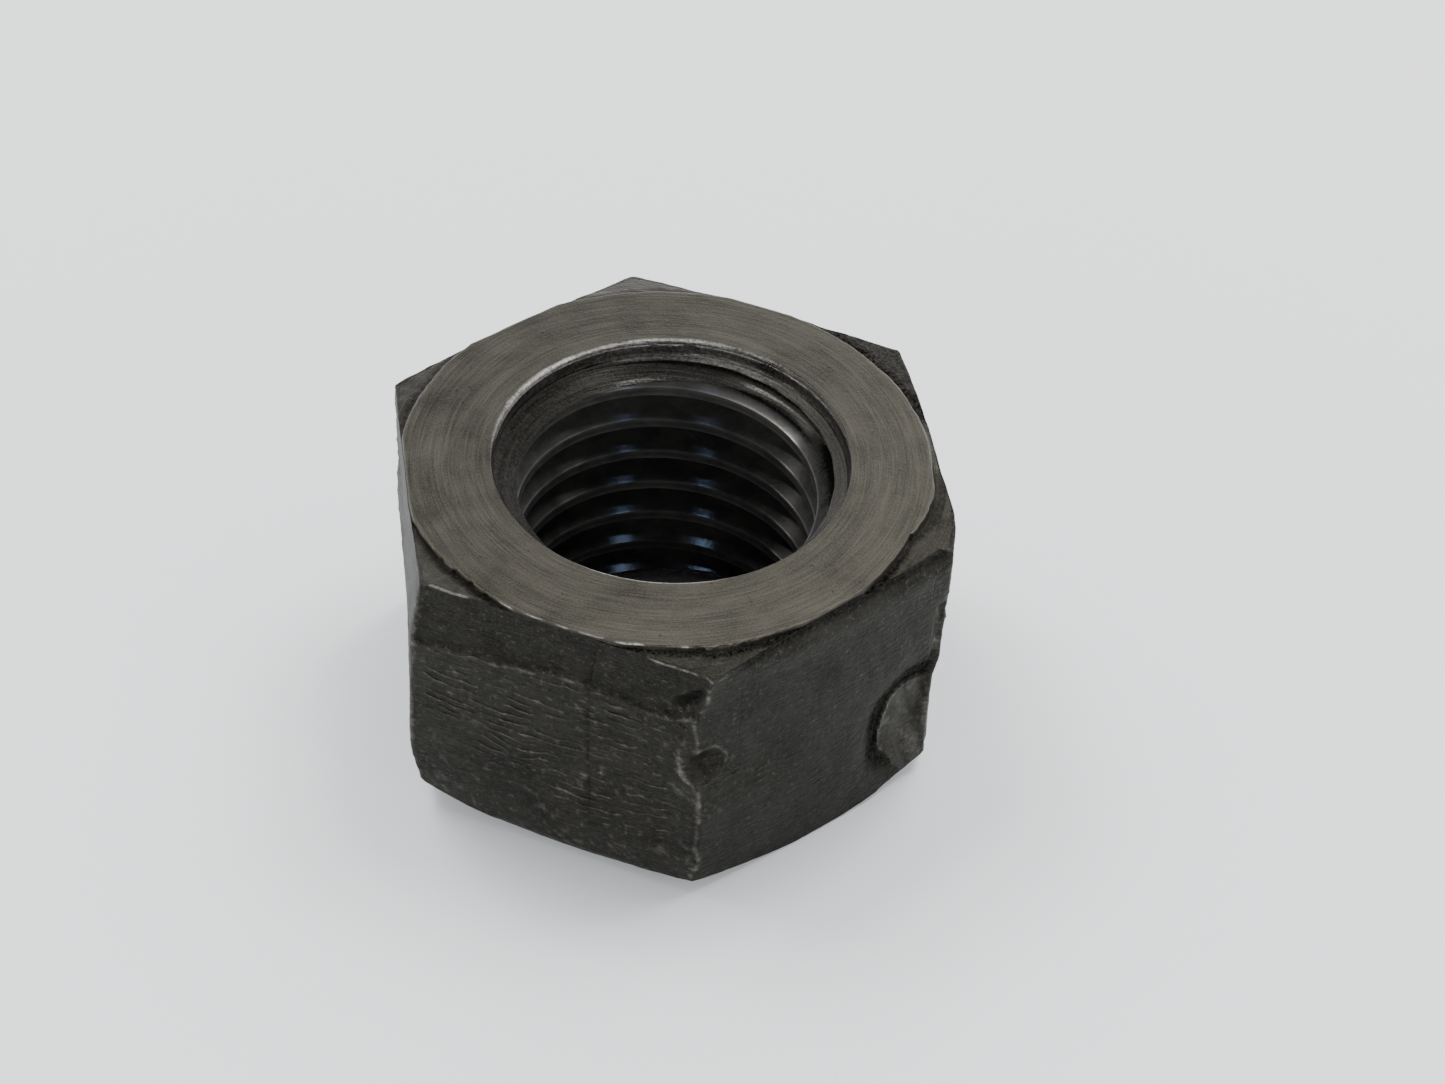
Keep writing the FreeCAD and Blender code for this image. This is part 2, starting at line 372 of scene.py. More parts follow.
def crater(position):
    """A round dent with a raised rim on the front corner.

    Returns its relief, its wear, and 1 inside it and 0 outside."""
    x, y, z = [position[..., axis] - CRATER_CENTRE[axis] for axis in range(3)]
    away = np.sqrt(x ** 2 + y ** 2 + (0.85 * z) ** 2)
    turn = np.arctan2(z, x)
    rim_radius = CRATER_RADIUS + 0.06 * np.sin(3 * turn + 1.0) + 0.04 * np.sin(7 * turn)
    rim = hump(away, rim_radius, 0.12)
    hollow = 1 - smooth(away, 0.4, 1.2)
    blob = hump(np.sqrt((x - 0.5) ** 2 + (y - 0.2) ** 2 + (z + 0.3) ** 2), 0, 0.32)
    flattened = np.clip(1 - TO_CORNER / 0.9, 0, 1)
    relief = 0.1 * rim - (0.42 + 0.3 * flattened) * hollow + 0.22 * blob
    broken = smooth(np.sin(2 * turn + 0.6) + 0.5 * np.sin(5 * turn), -1.2, 0.3)
    wear_and_painted_light = 0.34 * rim * broken - 0.45 * hollow + 0.45 * blob
    return relief, wear_and_painted_light, 1 - smooth(away, 1.15, 1.4)


def corner_marks(height, outside_crater):
    """Relief and wear of the rounded corners, each with a ragged bead of burrs along it."""
    reach = ROUNDING_REACH * np.array(CORNER_ROUNDING)[NEAR]
    rounded = 0.27 * reach * np.clip(1 - TO_CORNER / reach, 0, 1) ** 2
    notched = fractal(41, 0.35, 2, height, NEAR * 9.0 + 0 * height)
    wander = 0.3 * noise_at(43, height / 1.4, NEAR * 9.0 + 0 * height)
    bead = hump(np.where(ALONG < 0, TO_CORNER, -TO_CORNER) + wander, 0, 0.17) * outside_crater
    relief = (0.05 + 0.09 * notched) * bead - rounded
    return relief, (0.22 + 0.4 * notched) * bead * (height < 17)


# -------------------- the outside: all its relief

def side_relief(position, share, part):
    """How far each point of the sides stands out, in millimetres, and its wear and painted light.

    The value is 1 on bare bright steel and on painted highlights, 0 on the ordinary skin, and -1
    in dark crevices and painted shade."""
    height = position[..., 2]
    along = ALONG + 0 * height
    x, y = position[..., 0], position[..., 1]
    relief = 0.045 * fractal(1, 3.0, 3, x, y, height)
    relief += 0.024 * fractal(5, 0.5, 2, x, y, height)
    torn = ledge_presence(share, height)
    relief += 0.075 * torn * part ** 3
    # Each ledge's lip is bare steel with a painted highlight along it, and the inner corner at
    # its foot has painted shade.
    wear_and_painted_light = 0.4 * torn * (part > 0.9) - 0.35 * torn * (part == 0)
    wear_and_painted_light += 0.16 * smooth(noise_at(8, x / 0.3, y / 0.3, height / 0.3), 0.35, 0.8)
    inner = smooth(TO_CORNER, 0.0, 0.45)
    for flat, marks in ((FRONT_LEFT, front_left_marks), (FRONT_RIGHT, front_right_marks)):
        on = FLAT == flat
        mark_relief, mark_wear = marks(along[:, on], height[:, on])
        relief[:, on] += inner[on] * mark_relief
        wear_and_painted_light[:, on] += inner[on] * mark_wear
    crown = 0.35 * (1 - (ALONG / HALF_FLAT) ** 2) + 0.3 * hump(ALONG, -5.6, 3.0)
    relief += np.where(FLAT == 0, crown * smooth(TO_CORNER, 0, 2), 0)
    crater_relief, crater_wear, in_crater = crater(position)
    corner_relief, corner_wear = corner_marks(height, 1 - in_crater)
    return relief + corner_relief + crater_relief, wear_and_painted_light + corner_wear + crater_wear


def top_edge_wear():
    """Bare burrs along the top edges of the flats, at each column."""
    ragged = 0.5 + 0.5 * fractal(31, 0.5, 2, X, Y)
    wear_and_painted_light = 0.25 * ragged
    left = 0.75 * window(ALONG, -8.3, -5.7, 0.2) + 1.0 * ragged * window(ALONG, 5.0, 8.8, 0.3)
    left += 0.45 * ragged * window(ALONG, -4.8, 5.0, 0.3)
    return np.where(FLAT == FRONT_LEFT, left, wear_and_painted_light)


def face_edge():
    """Radius of the turned ring's edge at each column, with its nicks."""
    turned = FACE_RADIUS + FACE_OFFSET[0] * np.cos(ANGLE) + FACE_OFFSET[1] * np.sin(ANGLE)
    nicked = smooth(noise_at(52, RING_X / 0.55, RING_Y / 0.55), 0.2, 0.8)
    turned = turned - 0.16 * nicked * window(DEGREES, 215, 285, 10)
    turned = turned + 0.06 * fractal(51, 0.45, 2, RING_X, RING_Y)
    return turned + 0.05 * fractal(55, 4.0, 2, RING_X, RING_Y)


class Rings:
    """Rings of points round the nut, one point to a column, each with its kind, and its wear and
    painted light.
    """

    def __init__(self, angle):
        self.angle = angle
        self.points = []
        self.kinds = []
        self.wear_and_painted_light = []

    def add(self, radius, height, kind, wear_and_painted_light=0.0):
        flat = np.zeros_like(self.angle)
        self.points.append(np.stack([radius * np.cos(self.angle), radius * np.sin(self.angle),
                                     height + flat], axis=1))
        self.kinds.append(kind)
        self.wear_and_painted_light.append(wear_and_painted_light + flat)


def chamfer_wear_and_shade(out, ragged):
    """Painted shade in the groove beside the ring, darker chamfers at some corners, and a thin
    bare line.
    """
    # Painted shade in the groove just outside the ring's edge.
    groove_shade = 0.2 + 0.5 * window(DEGREES, 235, 350, 12) - 0.3 * window(DEGREES, 280, 320, 10)
    groove_shade = groove_shade * (1 - smooth(out, 0.25 + 0.2 * ragged, 0.8)) * PAST_RING
    on_corners = (0.42 * window(DEGREES, 275, 325, 10) + 0.32 * window(DEGREES, 150, 225, 15)
                  + 0.6 * window(DEGREES, 30, 90, 10) + 0.3 * window(FROM_X_AXIS, -30, 20, 8))
    bare = 0.2 * hump(out, 0.62, 0.16) * smooth(ragged, 0.3, 0.9) * PAST_RING
    return bare - groove_shade - on_corners


def add_ring_and_chamfer(rings, lip, step, top):
    """Rings over the turned ring, down its edge and out over the chamfer to the flats."""
    ragged = smooth(fractal(57, 0.7, 3, RING_X, RING_Y), -0.3, 0.5)
    burr = 0.12 + 0.75 * window(DEGREES, 281, 302, 4) + 0.35 * window(DEGREES, 255, 281, 4)
    bright = ragged * burr
    for part in np.linspace(0, 1, 7):
        rings.add(JOIN_RADIUS + JOIN_GAP + (lip - 0.22 - JOIN_RADIUS) * part, HEIGHT, "face")
    rings.add(lip - 0.04, HEIGHT - 0.012, "face", 0.4 * bright)
    rings.add(lip, HEIGHT - 0.05, "face", bright)
    # These two rings carry painted shade in the step down from the ring's edge.
    rings.add(lip + 0.03, HEIGHT - 0.5 * (step + 0.05), "shelf", -0.15 * PAST_RING)
    rings.add(lip + 0.05 + 0.02 * PAST_RING, HEIGHT - step - 0.04 * PAST_RING, "shelf",
              -0.25 * PAST_RING)
    shelf = RADIUS - lip
    for part in np.linspace(0, 1, 10)[1:-1] ** 1.4:
        out = 0.08 + (shelf - 0.08) * part
        fall = (HEIGHT - step) * (1 - part) + top * part
        groove = 0.04 * hump(out, 0.2, 0.2)
        bumps = 0.03 * fractal(59, 0.5, 2, RING_X + out, RING_Y) * smooth(out, 0.2, 0.5)
        uneven = PAST_RING * (bumps - groove) - 0.02 * (1 - PAST_RING) * part
        rings.add(lip + out, fall + uneven, "shelf", chamfer_wear_and_shade(out, ragged))


def add_sides(rings, top, bottom):
    """Rings down the flats, whose rows follow the torn ledges."""
    edge_wear = top_edge_wear()
    for share in side_rows()[:, 0]:
        drift = ledge_drift(np.full((1, len(ANGLE)), share))[0]
        burr = edge_wear * smooth(share, 0.988, 0.997)
        rings.add(RADIUS, bottom + (top - bottom) * share + drift, "side", burr)


def add_underside(rings, bottom):
    """Rings in over the bottom chamfer and the bottom face."""
    foot = np.minimum(RADIUS - 0.12, FACE_RADIUS)
    for part in np.linspace(0, 1, 5)[1:]:
        rings.add(RADIUS * (1 - part) + foot * part, bottom * (1 - part), "shelf")
    for part in np.linspace(0, 1, 4)[1:]:
        rings.add(foot * (1 - part) + (JOIN_RADIUS + JOIN_GAP) * part, 0.0, "face")


def outside_rings():
    """Rings from the top face out, down the sides and in again under the nut."""
    rings = Rings(ANGLE)
    lip = np.minimum(face_edge(), RADIUS - 0.09)
    rolled = hump(FROM_X_AXIS, -25, 25) + hump(FROM_X_AXIS, 5, 18)
    step = 0.1 + PAST_RING * (0.14 + 0.16 * rolled)
    fade = (1 - TO_CORNER / HALF_FLAT) ** 2
    corner_top = np.array(CORNER_TOPS)[NEAR] * fade + 0.1 * fractal(58, 1.3, 3, RING_X, RING_Y)
    top = HEIGHT - step - (RADIUS - lip) * TOP_SLOPE + corner_top * PAST_RING
    add_ring_and_chamfer(rings, lip, step, top)
    top = top - 0.03 * (1 - PAST_RING)
    bottom = np.maximum(RADIUS - FACE_RADIUS, 0) * BOTTOM_SLOPE + 0.12
    bottom = bottom + np.array(CORNER_BOTTOMS)[NEAR] * fade
    first = len(rings.points)
    add_sides(rings, top, bottom)
    last = len(rings.points)
    add_underside(rings, bottom)
    roughen_outside(rings, first, last)
    return rings


def roughen_outside(rings, first, last):
    """Gives the sides their relief, their wear and painted light, and eases the rings beside them
    along.
    """
    points = np.array(rings.points)
    wear_and_painted_light = np.array(rings.wear_and_painted_light)
    rows = side_rows()
    share = np.ones((len(points), 1))
    part = np.zeros((len(points), 1))
    share[first:last, 0] = rows[:, 0]
    part[first:last, 0] = rows[:, 1]
    share[last:] = 0
    shift = corner_shift(points[..., 2])
    relief, side_wear = side_relief(points, share, part)
    wear_and_painted_light[first:last] += side_wear[first:last]
    radius = np.hypot(points[..., 0], points[..., 1])
    hold = smooth(radius, FACE_RADIUS - 0.6, FACE_RADIUS + 0.2)
    hold[last:] = smooth(radius[last:] / RADIUS, 0.86, 1.0)
    hold[first:last] = 1
    points[..., :2] += hold[..., None] * (shift + relief[..., None] * outward()[None])
    rings.points = points
    rings.wear_and_painted_light = wear_and_painted_light


# -------------------- the bore and its thread

# Places across one turn of thread, as shares of the pitch from the groove's middle.
CREST_EDGE = 0.375
TURN_ROWS = (-0.5, -0.40, -CREST_EDGE, -0.345, -0.23, -0.115, -0.055,
             0.055, 0.115, 0.23, 0.345, CREST_EDGE, 0.40)

# The helical rows stop this far from each face, at the cones' inner ends.
CONE_FOOT = RECESS_DEPTH + (RECESS_FOOT - CREST_RADIUS) / FLANK_SLOPE + 0.05
BOTTOM_FOOT = (BOTTOM_CONE_RADIUS - CREST_RADIUS) / FLANK_SLOPE + 0.05


def thread_radius(share):
    """Wall radius at a share of the pitch from the groove's middle, from -0.5 to 0.5."""
    flank = (CREST_EDGE - np.abs(share)) * PITCH * FLANK_SLOPE
    return np.clip(CREST_RADIUS + flank, CREST_RADIUS, ROOT_RADIUS)


def recess_radius(angle, depth):
    """Wall radius of the recess and of the cone under it, at a depth below the face."""
    wall = RECESS_RADIUS - (RECESS_RADIUS - RECESS_FOOT) * depth / RECESS_DEPTH
    cone = RECESS_FOOT - (depth - RECESS_DEPTH) * FLANK_SLOPE
    off_centre = RECESS_OFFSET[0] * np.cos(angle) + RECESS_OFFSET[1] * np.sin(angle)
    off_centre = off_centre * (1 - smooth(depth, RECESS_DEPTH - 0.4, RECESS_DEPTH + 0.6))
    x, y = 0.8 * np.cos(angle) + 0 * depth, 0.8 * np.sin(angle) + 0 * depth
    mark_depth = 0.01 + 0.02 * smooth(depth, RECESS_DEPTH - 0.05, RECESS_DEPTH + 0.15)
    marks = mark_depth * noise_at(63, depth / 0.13 + 0 * angle, x, y)
    return np.minimum(wall, cone) + off_centre + marks


def thread_wear_and_painted_light(angle, height, share, on_thread):
    """Brighter crest edges, painted light on the upper flanks, painted shade on the crests, and
    lower flanks that darken above the first turn."""
    crest = hump(np.abs(share), CREST_EDGE, 0.02) * on_thread
    crest_wear = (0.1 + 0.04 * smooth(-np.cos(angle), 0.2, 0.9)) * crest
    near_end = smooth(np.abs(height - HEIGHT / 2), HEIGHT / 2 - 2.8, HEIGHT / 2 - 1.8)
    wear_and_painted_light = np.maximum(crest_wear, 0.04 * near_end)
    # Painted light on the upper flanks, which face down into shade.
    wear_and_painted_light = wear_and_painted_light + 0.4 * window(share, 0.05, 0.35, 0.03)
    # Painted shade on the crests, which face across the bore.
    wear_and_painted_light = wear_and_painted_light - 0.5 * smooth(np.abs(share), 0.385, 0.42)
    return wear_and_painted_light - 0.5 * smooth(height, 2.6, 5.5) * window(share, -0.36, -0.03, 0.02)


def run_out_painted_light(angle, height, share):
    """Where the thread runs out at the top: painted highlight stripes at the back, and painted
    shade at the right.
    """
    degrees = np.degrees(angle)
    # Painted highlight streaks on the lower flanks at the back, and painted shade to the right.
    highlight_streak_zone = window(degrees, 50, 92, 12) * smooth(height, HEIGHT - 3.6, HEIGHT - 2.6)
    streaks = 0.8 * hump(share, -0.345, 0.05) + 0.9 * hump(share, -0.115, 0.05)
    streaks = streaks - 0.55 * hump(share, -0.23, 0.05)
    patchy = 0.7 + 0.3 * noise_at(65, degrees / 9)
    shaded = 0.24 * window(degrees, -5, 42, 8) * smooth(height, 12, 14)
    return (highlight_streak_zone * streaks * patchy - shaded) * (share < 0)


def bore_surface(angle, height):
    """Radius of the bore at each point, and its wear with painted light and shade."""
    climb = angle / (2 * math.pi) * PITCH
    share = ((height - THREAD_START - climb) / PITCH + 0.5) % 1 - 0.5
    thread = thread_radius(share)
    bottom_cone = BOTTOM_CONE_RADIUS - height * FLANK_SLOPE
    at_top = height > HEIGHT / 2
    cone = np.where(at_top, recess_radius(angle, HEIGHT - height), bottom_cone)
    radius = np.maximum(thread, cone)
    x, y = radius * np.cos(angle), radius * np.sin(angle)
    radius = radius + 0.02 * fractal(61, 2.5, 3, x, y, height * 3)
    edge = hump(cone - thread, 0.02, 0.05) * (cone > CREST_RADIUS + 0.05)
    edge = edge * smooth(np.cos(angle - 0.2), 0.0, 0.4) * (share < -0.02)
    on_cone = height > HEIGHT - CONE_FOOT
    wear_and_painted_light = thread_wear_and_painted_light(angle, height, share, thread > cone)
    wear_and_painted_light = np.where(on_cone, 0.45 * edge, wear_and_painted_light)
    wear_and_painted_light = wear_and_painted_light + run_out_painted_light(angle, height, share)
    # Painted shadow in the groove's root just under the cone.
    root = hump(share, 0.04, 0.2) * smooth(thread - cone, 0.05, 0.35)
    return radius, wear_and_painted_light - root * (height > HEIGHT - CONE_FOOT - 0.5)


def thread_rows(angle):
    """Heights of the helical rows, which climb with the thread to keep it sharp.

    Rows beyond the cones are held at them, where their points fall together."""
    climb = angle / (2 * math.pi) * PITCH
    turns = range(int(HEIGHT / PITCH) + 3, -2, -1)
    places = [turn + share for turn in turns for share in reversed(TURN_ROWS)]
    height = np.array(places)[:, None] * PITCH + THREAD_START + climb
    return np.clip(height, BOTTOM_FOOT, HEIGHT - CONE_FOOT)


# -------------------- joining it all up

class Mesh:
    """Points with their wear and painted light, and faces with their kind of surface."""

    def __init__(self):
        self.points = []
        self.wear_and_painted_light = []
        self.faces = []
        self.kinds = []
        self.count = 0

    def add(self, points, wear_and_painted_light):
        """Adds the points and returns their indices."""
        start = self.count
        self.points.append(points)
        self.wear_and_painted_light.append(wear_and_painted_light)
        self.count += len(points)
        return np.arange(start, self.count)

    def face(self, corners, kind):
        """One face, with corners that are the same point taken once."""
        seen = list(dict.fromkeys(int(corner) for corner in corners))
        if len(seen) > 2:
            self.faces.append(seen)
            self.kinds.append(kind)

    def strip(self, upper, lower, kind):
        """Faces between two rings of equal count, the first of them further up or in."""
        count = len(upper)
        for column in range(count):
            after = (column + 1) % count
            self.face((upper[column], lower[column], lower[after], upper[after]), kind)

    def strips(self, rings, before=None, leads_down=False):
        """Faces between successive rings. Returns the indices of the first and last rings."""
        first = None
        for points, kind, wear_and_painted_light in zip(rings.points, rings.kinds, rings.wear_and_painted_light):
            current = self.add(points, wear_and_painted_light)
            if before is not None:
                pair = (current, before) if leads_down else (before, current)
                self.strip(*pair, kind)
            if first is None:
                first = current
            before = current
        return first, before

    def join(self, outer, outer_angle, inner, inner_angle, kind, upward):
        """Triangles between two rings of different counts that start at the same angle."""
        outer_angle = np.append(outer_angle, 2 * math.pi)
        inner_angle = np.append(inner_angle, 2 * math.pi)
        a = b = 0
        while a < len(outer) or b < len(inner):
            step_out = a < len(outer)
            if step_out and b < len(inner):
                step_out = outer_angle[a + 1] <= inner_angle[b + 1]
            near, far = outer[a % len(outer)], inner[b % len(inner)]
            if step_out:
                a += 1
                corners = (near, outer[a % len(outer)], far)
            else:
                b += 1
                corners = (near, inner[b % len(inner)], far)
            self.face(corners if upward else corners[::-1], kind)


def cone_rings(rings, angle, depths, at_top):
    """Level rings on the cone and the recess wall, at depths below one of the two faces."""
    around = np.degrees(angle)
    left_front = window(around, 145, 270, 20)
    right_back = window(around, 80, 140, 20)
    right = window(around, -5, 50, 15) + window(around, 345, 365, 10)
    for depth in depths:
        height = HEIGHT - depth if at_top else depth
        radius, wear_and_painted_light = bore_surface(angle, np.full(angle.shape, height))
        streak = 0.08 * noise_at(64, 0 * angle + depth / 0.11, np.cos(angle), np.sin(angle))
        # Painted shade on the cone's left front and right, painted light at its back right, and
        # on the recess wall painted light at the back and left.
        shade = 0.5 * left_front - 0.16 * right_back + 0.22 * right
        if at_top and depth < RECESS_DEPTH:
            shade = -0.27 * window(around, 30, 150, 25) - 0.25 * window(around, 150, 230, 15)
        rings.add(radius, height, "cone", wear_and_painted_light + streak - shade)


def rim_rings(rings, angle):
    """Rings over the recess's rounded rim, which is widest at the back and brightest there, as
    bare steel with a painted highlight.
    """
    wall = recess_radius(angle, np.full(angle.shape, RIM_DROP))
    x, y = RECESS_RADIUS * np.cos(angle), RECESS_RADIUS * np.sin(angle)
    serration = 0.65 + 0.35 * fractal(71, 0.8, 2, x, y)
    around = np.degrees(angle)
    at_back = window(around, 50, 190, 30)
    near_lip_highlight = window(around, 268, 308, 8)
    # The rim is bare steel with a painted highlight, strongest at the back, and a painted
    # highlight runs along its near lip.
    wear_and_painted_light = serration * (0.1 + 0.5 * window(around, 88, 185, 22)) + 0.9 * near_lip_highlight
    width = RIM_WIDTH * (0.35 + 0.65 * at_back) * (0.7 + 0.5 * serration)
    for part in (0.15, 0.35, 0.6, 0.85, 1.0):
        drop = RIM_DROP * (1 - math.sin(part * math.pi / 2)) ** 1.2
        rings.add(wall + width * part, HEIGHT - drop, "cone", wear_and_painted_light * hump(part, 0.6, 0.4))
    rings.add(wall + width + 0.06, HEIGHT, "face", 0.15 * wear_and_painted_light * (1 - near_lip_highlight))


def top_rings(angle):
    """Rings from the thread's upper end, up the cone and the recess and out over the face."""
    rings = Rings(angle)
    cone_rings(rings, angle, np.linspace(CONE_FOOT, RECESS_DEPTH, CONE_ROWS)[1:], True)
    cone_rings(rings, angle, np.linspace(RECESS_DEPTH, RIM_DROP, WALL_ROWS)[1:], True)
    rim_rings(rings, angle)
    start = RECESS_RADIUS + RIM_WIDTH + 0.2
    off_centre = RECESS_OFFSET[0] * np.cos(angle) + RECESS_OFFSET[1] * np.sin(angle)
    rings.add(start + off_centre, HEIGHT, "face")
    for radius in np.linspace(start + 0.4, JOIN_RADIUS, 9):
        rings.add(radius, HEIGHT, "face")
    return rings


def bottom_rings(angle):
    """Rings from the thread's lower end, down the bottom cone and out under the nut."""
    rings = Rings(angle)
    cone_rings(rings, angle, np.linspace(BOTTOM_FOOT, 0.12, CONE_ROWS // 2 + 2)[1:], False)
    rings.add(BOTTOM_CONE_RADIUS - 0.06, 0.03, "cone", 0.5)
    rings.add(BOTTOM_CONE_RADIUS + 0.08, 0.0, "face", 0.2)
    for radius in np.linspace(BOTTOM_CONE_RADIUS + 0.6, JOIN_RADIUS, 4):
        rings.add(radius, 0.0, "face")
    return rings


def build_nut():
    mesh = Mesh()
    outer_top, outer_bottom = mesh.strips(outside_rings())
    outer_angle = ANGLE - ANGLE[0]
    angle = np.arange(BORE_COLUMNS) * 2 * math.pi / BORE_COLUMNS
    thread_top, thread_bottom = add_thread(mesh, angle)
    inner_top = mesh.strips(top_rings(angle), thread_top)[1]
    mesh.join(outer_top, outer_angle, inner_top, angle, "face", True)
    inner_bottom = mesh.strips(bottom_rings(angle), thread_bottom, leads_down=True)[1]
    mesh.join(outer_bottom, outer_angle, inner_bottom, angle, "face", False)
    return mesh


def add_thread(mesh, angle):
    """The helical rows. Past the +X axis a row joins the row that is one turn above it.

    Returns the indices of the rings at the thread's upper and lower ends."""
    height = thread_rows(angle)
    radius, wear_and_painted_light = bore_surface(angle, height)
    rows, columns = height.shape
    points = np.stack([radius * np.cos(angle), radius * np.sin(angle), height], axis=-1)
    index = mesh.add(points.reshape(-1, 3), wear_and_painted_light.reshape(-1)).reshape(rows, columns)
    at_top = height >= HEIGHT - CONE_FOOT - 1e-9
    at_bottom = height <= BOTTOM_FOOT + 1e-9
    for column in range(columns):
        index[at_top[:, column], column] = index[0, column]
        index[at_bottom[:, column], column] = index[-1, column]
    for column in range(columns):
        after = (column + 1) % columns
        climbed = len(TURN_ROWS) if after == 0 else 0
        for row in range(rows - 1):
            upper = index[max(row - climbed, 0), after]
            lower = index[max(row - climbed + 1, 0), after]
            mesh.face((index[row + 1, column], index[row, column], upper, lower), "thread")
    return index[0], index[-1]


MATERIAL_ORDER = ("face", "shelf", "side", "cone", "thread")


def place(name, data):
    """A new object in the scene that shows the data."""
    made = bpy.data.objects.new(name, data)
    bpy.context.scene.collection.objects.link(made)
    return made


def to_object(mesh, name):
    data = bpy.data.meshes.new(name)
    points = np.concatenate(mesh.points)
    wear_and_painted_light = np.concatenate(mesh.wear_and_painted_light)
    used = np.unique([corner for face in mesh.faces for corner in face])
    renumber = np.zeros(len(points), int)
    renumber[used] = np.arange(len(used))
    faces = [[int(renumber[corner]) for corner in face] for face in mesh.faces]
    data.from_pydata((points[used] * MM).tolist(), [], faces)
    data.polygons.foreach_set("material_index", [MATERIAL_ORDER.index(k) for k in mesh.kinds])
    data.polygons.foreach_set("use_smooth", [True] * len(data.polygons))
    data.attributes.new("wear_and_painted_light", "FLOAT", "POINT").data.foreach_set("value", wear_and_painted_light[used])
    data.update()
    data.set_sharp_from_angle(angle=math.radians(38))
    return place(name, data)


# -------------------- materials

class Shader:
    """A material being made, with short ways to add its nodes."""

    def __init__(self, name, metallic):
        self.material = bpy.data.materials.new(name)
        self.material.use_nodes = True
        self.tree = self.material.node_tree
        self.surface = self.tree.nodes["Principled BSDF"]
        self.metallic = metallic
        self.set("Metallic", metallic)
        self.set("Specular IOR Level", 0.0)
        coordinates = self.node("TexCoord").outputs["Object"]
        self.place = self.vector("MULTIPLY", coordinates, (1 / MM,) * 3)

    def node(self, kind):
        return self.tree.nodes.new("ShaderNode" + kind)

    def put(self, socket, value):
        """Links the value to the socket, or sets it there if it is a plain one."""
        if isinstance(value, bpy.types.NodeSocket):
            self.tree.links.new(value, socket)
        else:
            socket.default_value = value

    def set(self, name, value):
        self.put(self.surface.inputs[name], value)

    def vector(self, operation, a, b=None):
        node = self.node("VectorMath")
        node.operation = operation
        self.put(node.inputs[0], a)
        if b is not None:
            self.put(node.inputs[1], b)
        return node.outputs["Value" if operation == "LENGTH" else "Vector"]

    def math(self, operation, a, b=0.0):
        node = self.node("Math")
        node.operation = operation
        self.put(node.inputs[0], a)
        self.put(node.inputs[1], b)
        return node.outputs[0]

    def combine(self, x, y, z):
        node = self.node("CombineXYZ")
        for socket, value in zip(node.inputs, (x, y, z)):
            self.put(socket, value)
        return node.outputs[0]

    def separate(self, vector):
        node = self.node("SeparateXYZ")
        self.put(node.inputs[0], vector)
        return node.outputs

    def noise(self, vector, detail=3.0, roughness=0.55):
        node = self.node("TexNoise")
        self.put(node.inputs["Vector"], vector)
        self.put(node.inputs["Scale"], 1.0)
        self.put(node.inputs["Detail"], detail)
        self.put(node.inputs["Roughness"], roughness)
        return node.outputs["Fac"]

    def spread(self, value, low, high, to_low=0.0, to_high=1.0):
        """Value from low..high to to_low..to_high, and no further."""
        node = self.node("MapRange")
        for name, number in (("Value", value), ("From Min", low), ("From Max", high),
                             ("To Min", to_low), ("To Max", to_high)):
            self.put(node.inputs[name], number)
        return node.outputs["Result"]

    def mix(self, factor, a, b):
        node = self.node("Mix")
        node.data_type = "RGBA"
        colour_a, colour_b = [s for s in node.inputs if s.type == "RGBA"]
        self.put(node.inputs["Factor"], factor)
        self.put(colour_a, (*a, 1) if isinstance(a, tuple) else a)
        self.put(colour_b, (*b, 1) if isinstance(b, tuple) else b)
        return next(s for s in node.outputs if s.type == "RGBA")

    def scaled(self, x, y, z):
        """The place on the nut, in lumps of noise to a millimetre along each axis."""
        return self.vector("MULTIPLY", self.place, (x, y, z))

    def total(self, *terms):
        """The sum of values, each of them given with its weight."""
        total = None
        for value, weight in terms:
            part = self.math("MULTIPLY", value, weight)
            total = part if total is None else self.math("ADD", total, part)
        return total

    def attribute(self, name):
        node = self.node("Attribute")
        node.attribute_name = name
        return node.outputs["Fac"]

    def bump(self, height, depth, before=None):
        """A bump of depth millimetres, on top of one made before."""
        node = self.node("Bump")
        node.inputs["Distance"].default_value = depth * MM
        self.put(node.inputs["Height"], height)
        if before is not None:
            self.put(node.inputs["Normal"], before)
        return node.outputs["Normal"]

    def finish(self, colour, roughness, normal):
        self.set("Base Color", colour)
        self.set("Roughness", roughness)
        self.set("Normal", normal)
        return self.material


# The bare colours stand for bare steel and also serve as painted highlights and painted light;
# the dark one stands for grime and pits and also serves as painted shade.
BARE_STEEL_AND_PAINTED_LIGHT = (0.50, 0.485, 0.45)
BARE_RIDGES_AND_PAINTED_LIGHT = (0.22, 0.212, 0.188)
BARE_CRESTS_AND_PAINTED_LIGHT = (0.4, 0.37, 0.32)
GRIME_AND_PAINTED_SHADE = (0.003, 0.003, 0.0027)
# Each turned surface: its material's name, its darkest and lightest colour, its roughness and
# how deep its turning marks are, in millimetres.
TURNED = {
    "face": ("turned_face", (0.025, 0.0232, 0.0183), (0.073, 0.068, 0.0553), 0.42, 0.014),
    "shelf": ("turned_chamfer", (0.021, 0.0197, 0.0165), (0.053, 0.05, 0.041), 0.4, 0.02),
    "cone": ("turned_countersink", (0.009, 0.0086, 0.0075), (0.046, 0.0435, 0.038), 0.36, 0.045),
}
SKIN_DARK = (0.0085, 0.0083, 0.007)
SKIN_LIGHT = (0.035, 0.034, 0.029)
SPECKS = (0.085, 0.082, 0.071)
OIL_DARK = (0.055, 0.054, 0.053)
OIL_LIGHT = (0.08, 0.078, 0.075)


